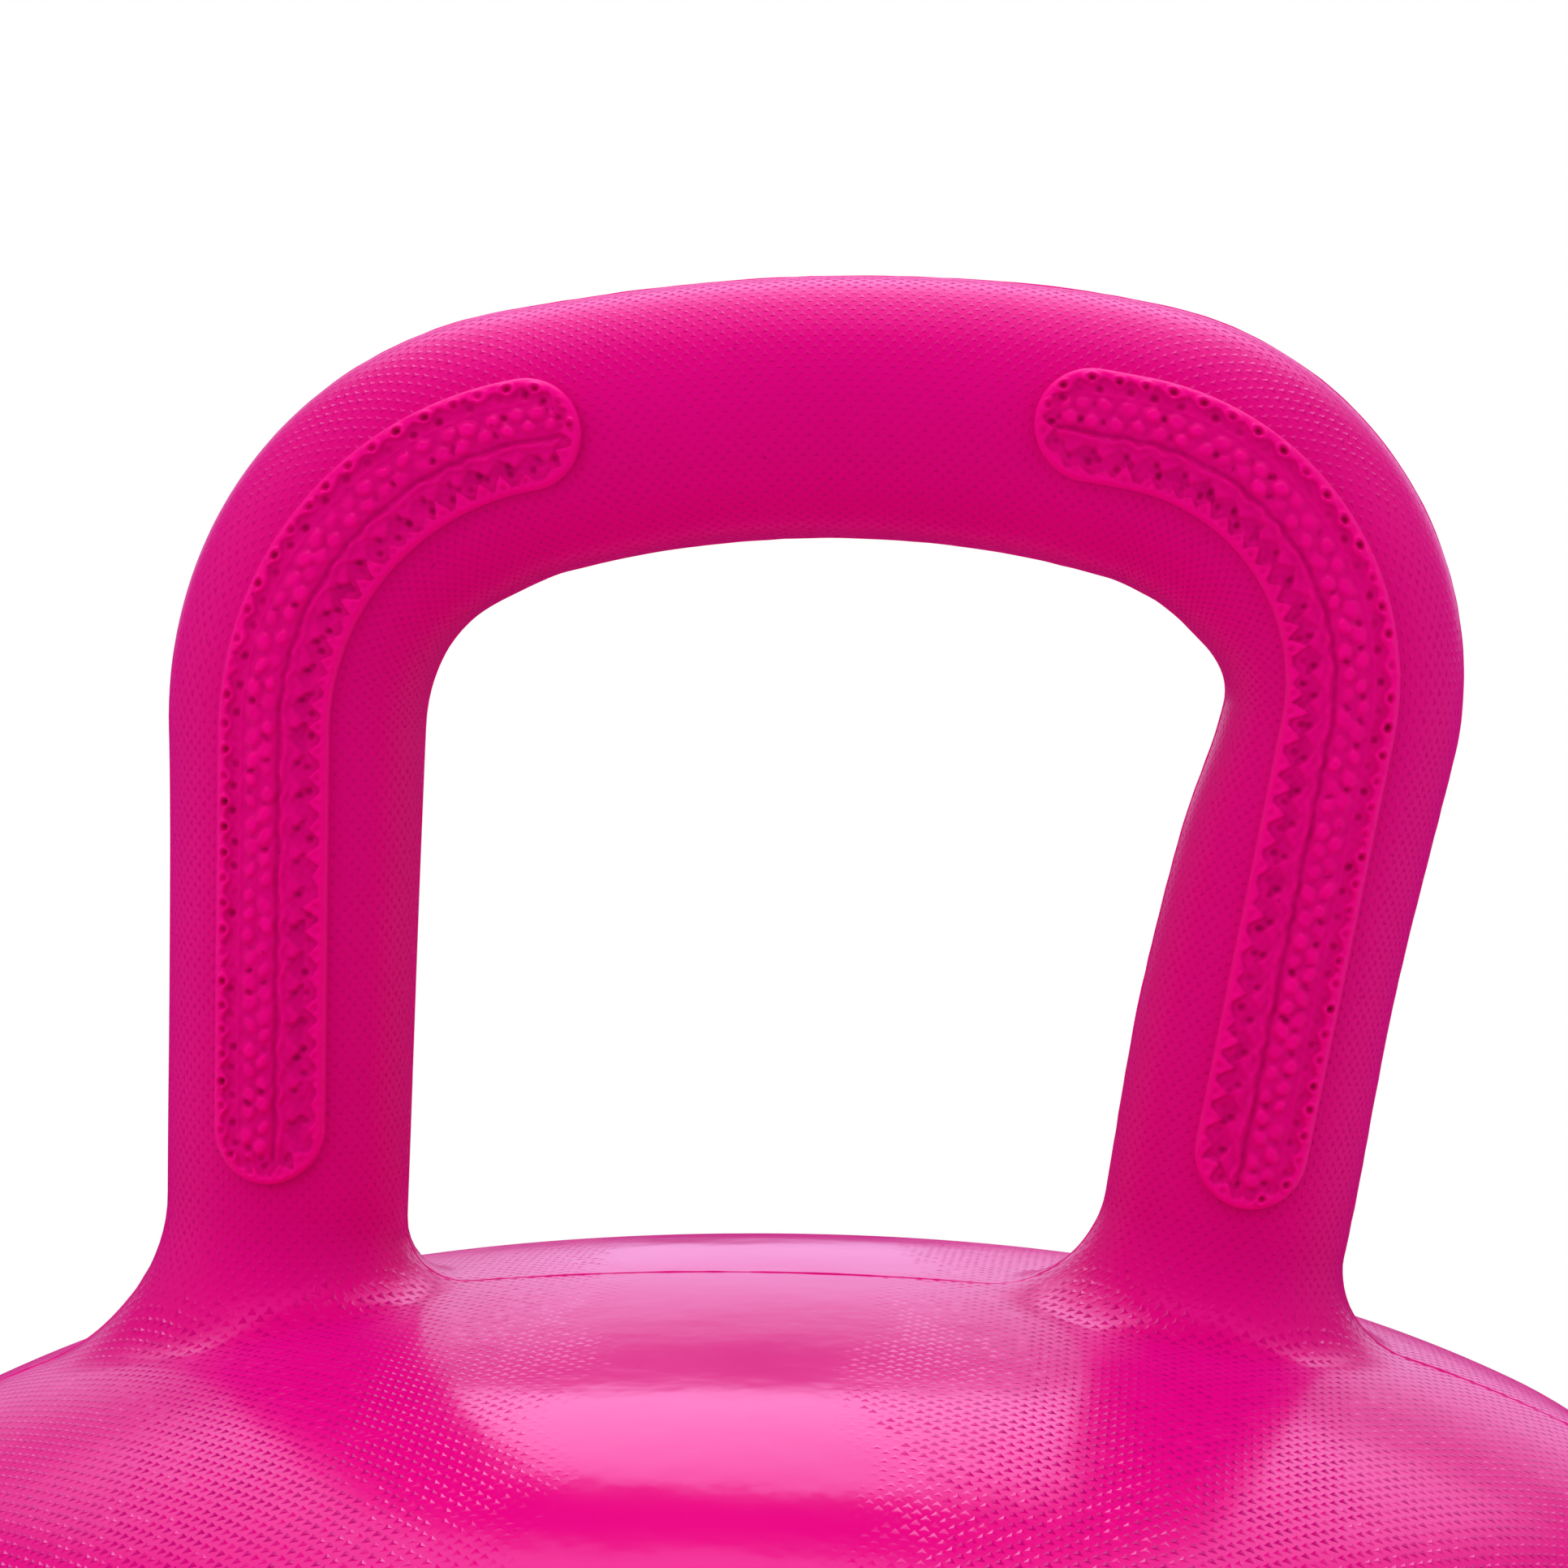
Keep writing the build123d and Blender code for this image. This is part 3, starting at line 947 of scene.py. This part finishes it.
def addBump(tree, shader, height):
    bumpNode = tree.nodes.new("ShaderNodeBump")
    bumpNode.inputs["Distance"].default_value = 1.0
    tree.links.new(height, bumpNode.inputs["Height"])
    tree.links.new(bumpNode.outputs["Normal"], shader.inputs["Normal"])


def gridSockets(tree, name):
    grid = tree.nodes.new("ShaderNodeAttribute")
    grid.attribute_name = name
    split = tree.nodes.new("ShaderNodeSeparateXYZ")
    tree.links.new(grid.outputs["Vector"], split.inputs[0])
    return split.outputs


def grainHeight(tree, across, up, pyramid, share, tall):
    # rows of pyramids, as tall as given and faded by the share
    grain = tree.nodes.new("ShaderNodeGroup")
    grain.node_tree = grainGroup
    grain.inputs["Size"].default_value, grain.inputs["Unevenness"].default_value = pyramid
    tree.links.new(across, grain.inputs["Across"])
    tree.links.new(up, grain.inputs["Up"])
    return maths(tree, "MULTIPLY", maths(tree, "MULTIPLY", grain.outputs["Height"], share), tall)


def makeSkinMaterial():
    look = vinylLook
    material, tree, shader = newMaterial(
        "magenta_vinyl", look["base"], look["gripRoughness"], IOR=look["ior"],
        Sheen_Weight=look["sheen"], Sheen_Roughness=look["sheenRoughness"],
        Sheen_Tint=look["sheenTint"], Specular_Tint=look["specularTint"])
    cloudiness = addMottle(tree, shader, look["base"], look["cloud"])
    gripGrid, bodyGrid = gridSockets(tree, "gripGrid"), gridSockets(tree, "bodyGrid")
    across = maths(tree, "DIVIDE", gripGrid[0], look["gripPitch"])
    up = maths(tree, "DIVIDE", maths(tree, "MULTIPLY", gripGrid[1], -1.0), look["gripPitch"])
    gripHeight = grainHeight(tree, across, up, look["gripPyramid"], gripGrid[2], look["gripGrain"])

    # the body's own coarser grain, which dies away over the middle of the crown
    sway = maths(tree, "SUBTRACT", noiseAt(tree, objectPlace(tree), look["raggedScale"]), 0.5)
    sway = maths(tree, "MULTIPLY_ADD", sway, look["raggedSway"], maths(tree, "ABSOLUTE", bodyGrid[0]))
    zone = smoothStep(tree, sway, look["smoothCrown"])
    across = maths(tree, "DIVIDE", bodyGrid[0], look["bodyPitch"])
    up = maths(tree, "DIVIDE", bodyGrid[1], look["bodyPitch"])
    onBody = maths(tree, "MULTIPLY", bodyGrid[2], zone)
    bodyHeight = grainHeight(tree, across, up, look["bodyPyramid"], onBody, look["bodyGrain"])
    ripple = maths(tree, "MULTIPLY", cloudiness, look["ripple"])
    addBump(tree, shader, maths(tree, "ADD", maths(tree, "ADD", gripHeight, bodyHeight), ripple))

    smooth = look["smoothRoughness"]
    rough = maths(tree, "MULTIPLY_ADD", gripGrid[2], look["gripRoughness"] - smooth, smooth)
    rough = maths(tree, "MULTIPLY_ADD", onBody, look["bodyRoughness"] - smooth, rough)
    rough = maths(tree, "MULTIPLY_ADD", cloudiness, look["cloudRoughness"], rough)
    tree.links.new(rough, shader.inputs["Roughness"])
    return material


def makePlainMaterial(name, base, roughness, cloud, fine, grainScale, hollows=0.0, **sockets):
    # moulded, cast or bare stuff, with its own clouding and fine grain, and painted shade on a relief:
    # lighter on its tops, darker in its hollows
    material, tree, shader = newMaterial(name, base, roughness, **sockets)
    cloudiness = addMottle(tree, shader, base, cloud)
    if hollows:
        # painted shade: the colour is scaled by the relief's depth kept on the mesh, lifted on the tops and
        # darkened down in the hollows, where shade falls
        relief = tree.nodes.new("ShaderNodeAttribute")
        relief.attribute_name = "relief"
        shade = tree.nodes.new("ShaderNodeVectorMath")
        shade.operation = "SCALE"
        mottled = shader.inputs["Base Color"].links[0].from_socket
        tree.links.new(mottled, shade.inputs[0])
        paintedShadeScale = maths(tree, "MULTIPLY_ADD", relief.outputs["Fac"], hollows, 1.15)
        tree.links.new(maths(tree, "MAXIMUM", paintedShadeScale, 0.3), shade.inputs["Scale"])
        tree.links.new(shade.outputs[0], shader.inputs["Base Color"])
    grain = noiseAt(tree, objectPlace(tree), grainScale, 3)
    addBump(tree, shader, maths(tree, "MULTIPLY", grain, fine))
    spread = 0.12  # how far the clouding moves the roughness, in all
    rough = maths(tree, "MULTIPLY_ADD", cloudiness, spread, roughness - spread / 2)
    tree.links.new(rough, shader.inputs["Roughness"])
    return material


def dress(piece, material):
    piece.data.materials.clear()
    piece.data.materials.append(material)


studio = {
    # how bright the surfaces see it, from the front over the top (0.5) to the back (1)
    "reflected": [
        (0.38, 0.0), (0.43, 1.0), (0.54, 1.2), (0.70, 1.8), (0.765, 2.2), (0.843, 2.3),
        (0.850, 0.14), (0.872, 0.14), (0.895, 0.68), (0.92, 1.0), (1.0, 1.1),
    ],
    "brightest": 3.0,
    # how far to the sides it fades out and is still whole
    "sides": (0.65, 0.12),
    "soft": 0.82,
    "softBack": 0.10,
    "softUp": 0.26,
    "softSides": 0.16,
    "softRight": 0.05,
    "reflectedGreen": -0.03,
    "reflectedBlue": 0.42,
}


def makeWorld():
    # white behind, soft light all round, and a studio of one overhead box and a backdrop in reflections
    world = bpy.data.worlds.new("studio")
    bpy.context.scene.world = world
    world.use_nodes = True
    tree = world.node_tree
    tree.nodes.clear()
    direction = tree.nodes.new("ShaderNodeSeparateXYZ")
    tree.links.new(tree.nodes.new("ShaderNodeTexCoord").outputs["Generated"], direction.inputs[0])
    x, y, z = direction.outputs
    swing = maths(tree, "ARCTAN2", z, maths(tree, "MULTIPLY", y, -1.0))
    swing = maths(tree, "DIVIDE", swing, pi)

    bands = tree.nodes.new("ShaderNodeValToRGB")
    elements = bands.color_ramp.elements
    brightest = studio["brightest"]
    stops = [(position, (value / brightest,) * 3 + (1,)) for position, value in studio["reflected"]]
    elements[0].position, elements[0].color = stops[0]
    elements[1].position, elements[1].color = stops[-1]
    for position, grey in stops[1:-1]:
        elements.new(position).color = grey
    tree.links.new(swing, bands.inputs["Fac"])
    mirrored = maths(tree, "MULTIPLY", bands.outputs["Color"], brightest)
    fade = smoothStep(tree, maths(tree, "ABSOLUTE", x), studio["sides"])
    mirrored = maths(tree, "MULTIPLY", mirrored, fade)

    soft = maths(tree, "MULTIPLY_ADD", y, studio["softBack"], studio["soft"])
    soft = maths(tree, "MULTIPLY_ADD", z, studio["softUp"], soft)
    soft = maths(tree, "MULTIPLY_ADD", maths(tree, "ABSOLUTE", x), studio["softSides"], soft)
    soft = maths(tree, "MULTIPLY_ADD", x, studio["softRight"], soft)

    path = tree.nodes.new("ShaderNodeLightPath")
    isGloss, isCamera = path.outputs["Is Glossy Ray"], path.outputs["Is Camera Ray"]
    mirrored = maths(tree, "MULTIPLY", mirrored, isGloss)
    soft = maths(tree, "MULTIPLY", soft, maths(tree, "SUBTRACT", 1.0, isGloss))
    strength = maths(tree, "MAXIMUM", maths(tree, "ADD", mirrored, soft), isCamera)
    background = tree.nodes.new("ShaderNodeBackground")
    tint = tree.nodes.new("ShaderNodeCombineColor")
    tint.inputs["Red"].default_value = 1.0
    for label in ("Green", "Blue"):
        shift = maths(tree, "MULTIPLY_ADD", isGloss, studio["reflected" + label], 1.0)
        tree.links.new(shift, tint.inputs[label])
    tree.links.new(tint.outputs[0], background.inputs["Color"])
    tree.links.new(strength, background.inputs["Strength"])
    out = tree.nodes.new("ShaderNodeOutputWorld")
    tree.links.new(background.outputs[0], out.inputs["Surface"])
    world.cycles.sampling_method = "NONE"


lamps = {
    "overhead": {"place": (0.0, 0.10, 0.95), "target": (0, 0, 0.18), "size": 0.8, "power": 2.2},
    "frontFill": {"place": (-0.5, -0.9, 0.45), "target": (0, 0, 0.18), "size": 0.9, "power": 2.0},
}


def makeLight(name, place, target, size, power):
    light = bpy.data.lights.new(name, "AREA")
    light.shape = "DISK"
    light.size = size
    light.energy = power
    lamp = bpy.data.objects.new(name, light)
    lamp.location = place
    lamp.rotation_euler = (Vector(target) - Vector(place)).to_track_quat("-Z", "Y").to_euler()
    lamp.visible_glossy = False
    bpy.context.scene.collection.objects.link(lamp)


ground = {
    "radius": 0.4,
    "segments": 96,
    "fade": (0.16, 0.39),
    # just clear of the ring that stands on it
    "drop": 0.0002,
    "base": (0.86, 0.86, 0.86, 1),
    "roughness": 0.7,
}


def makeFloor():
    # a pale disc that takes the shadow and fades to white
    bm = bmesh.new()
    bmesh.ops.create_circle(bm, cap_ends=True, segments=ground["segments"], radius=ground["radius"])
    mesh = bpy.data.meshes.new("floor")
    bm.to_mesh(mesh)
    bm.free()
    floor = bpy.data.objects.new("floor", mesh)
    bpy.context.scene.collection.objects.link(floor)
    floor.location.z = -ground["drop"]
    floor.visible_glossy = False
    material, tree, shader = newMaterial("pale_floor", ground["base"], ground["roughness"])
    white = tree.nodes.new("ShaderNodeEmission")
    length = tree.nodes.new("ShaderNodeVectorMath")
    length.operation = "LENGTH"
    tree.links.new(objectPlace(tree), length.inputs[0])
    blend = tree.nodes.new("ShaderNodeMixShader")
    tree.links.new(smoothStep(tree, length.outputs["Value"], ground["fade"]), blend.inputs["Fac"])
    tree.links.new(shader.outputs[0], blend.inputs[1])
    tree.links.new(white.outputs[0], blend.inputs[2])
    tree.links.new(blend.outputs[0], tree.nodes["Material Output"].inputs["Surface"])
    dress(floor, material)


cameraView = {
    "azimuth": 4.4,
    "elevation": 3.8,
    "distance": 0.62,
    "lens": 115.53,
    "across": 0.0041,
    "aboveBody": 0.0607,
}


def makeCamera():
    view = cameraView
    data = bpy.data.cameras.new("camera")
    data.lens = view["lens"]
    data.sensor_width = 36
    camera = bpy.data.objects.new("camera", data)
    around, up = radians(view["azimuth"]), radians(view["elevation"])
    target = Vector((view["across"], 0, bodyTop + view["aboveBody"]))
    away = Vector((sin(around) * cos(up), -cos(around) * cos(up), sin(up)))
    camera.location = target + away * view["distance"]
    camera.rotation_euler = (-away).to_track_quat("-Z", "Y").to_euler()
    bpy.context.scene.collection.objects.link(camera)
    bpy.context.scene.camera = camera


seamLook = {
    "name": "seam_vinyl",
    # painted light: a lighter base than the skin's vinyl, to make up for the little light that the thin
    # ridge takes
    "base": (0.75, 0.0008, 0.22, 1),
    "roughness": 0.5,
    "cloud": 0.12,
    "fine": 0.00002,
    "grainScale": 900,
    "IOR": 1.5,
    "Specular_Tint": vinylLook["specularTint"],
}

print("making the skin")
dress(buildShell(), makeSkinMaterial())
dress(buildSeam(), makePlainMaterial(**seamLook))

stripLook = {
    "name": "strip_vinyl",
    "base": (0.68, 0.0008, 0.175, 1),
    "roughness": 0.27,
    "cloud": 0.10,
    "fine": 0.00003,
    "grainScale": 1400,
    # how much darker the painted shade makes the hollows, for each millimetre of depth
    "hollows": 0.29,
    "IOR": 1.5,
    "Sheen_Weight": 0.4,
    "Sheen_Tint": vinylLook["sheenTint"],
    "Specular_Tint": vinylLook["specularTint"],
}

print("making the strips")
stripMaterial = makePlainMaterial(**stripLook)
for number, (face, facing) in enumerate((("front", -1), ("back", 1))):
    for hand, side in (("left", -1), ("right", 1)):
        seed = strips["seed"] + number * 7 + side
        dress(buildStrip(f"relief_strip_{face}_{hand}", side, facing, seed), stripMaterial)

# name, colour, roughness, clouding, depth and scale of the grain
cadLooks = {
    "base_ring": ("ring_rubber", (0.022, 0.022, 0.024, 1), 0.62, 0.25, 0.00006, 1200),
    "plug_seal": ("seal_rubber", (0.03, 0.03, 0.032, 1), 0.55, 0.2, 0.00004, 1500),
    "filler_plug": ("plug_plastic", (0.05, 0.05, 0.055, 1), 0.42, 0.15, 0.00003, 1600),
    "core_fill": ("cast_mix", (0.30, 0.28, 0.26, 1), 0.9, 0.5, 0.0003, 500),
    "handle_rod": ("bar_steel", (0.42, 0.41, 0.40, 1), 0.38, 0.2, 0.00003, 800),
}
bareMetal = ("handle_rod",)

print("finishing the base and what is inside")
for node, look in cadLooks.items():
    dress(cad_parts[node], makePlainMaterial(*look, Metallic=1.0 if node in bareMetal else 0.0))

print("lighting")
makeWorld()
for name, settings in lamps.items():
    makeLight(name, **settings)
makeFloor()
makeCamera()
bpy.context.scene.view_settings.view_transform = "Standard"
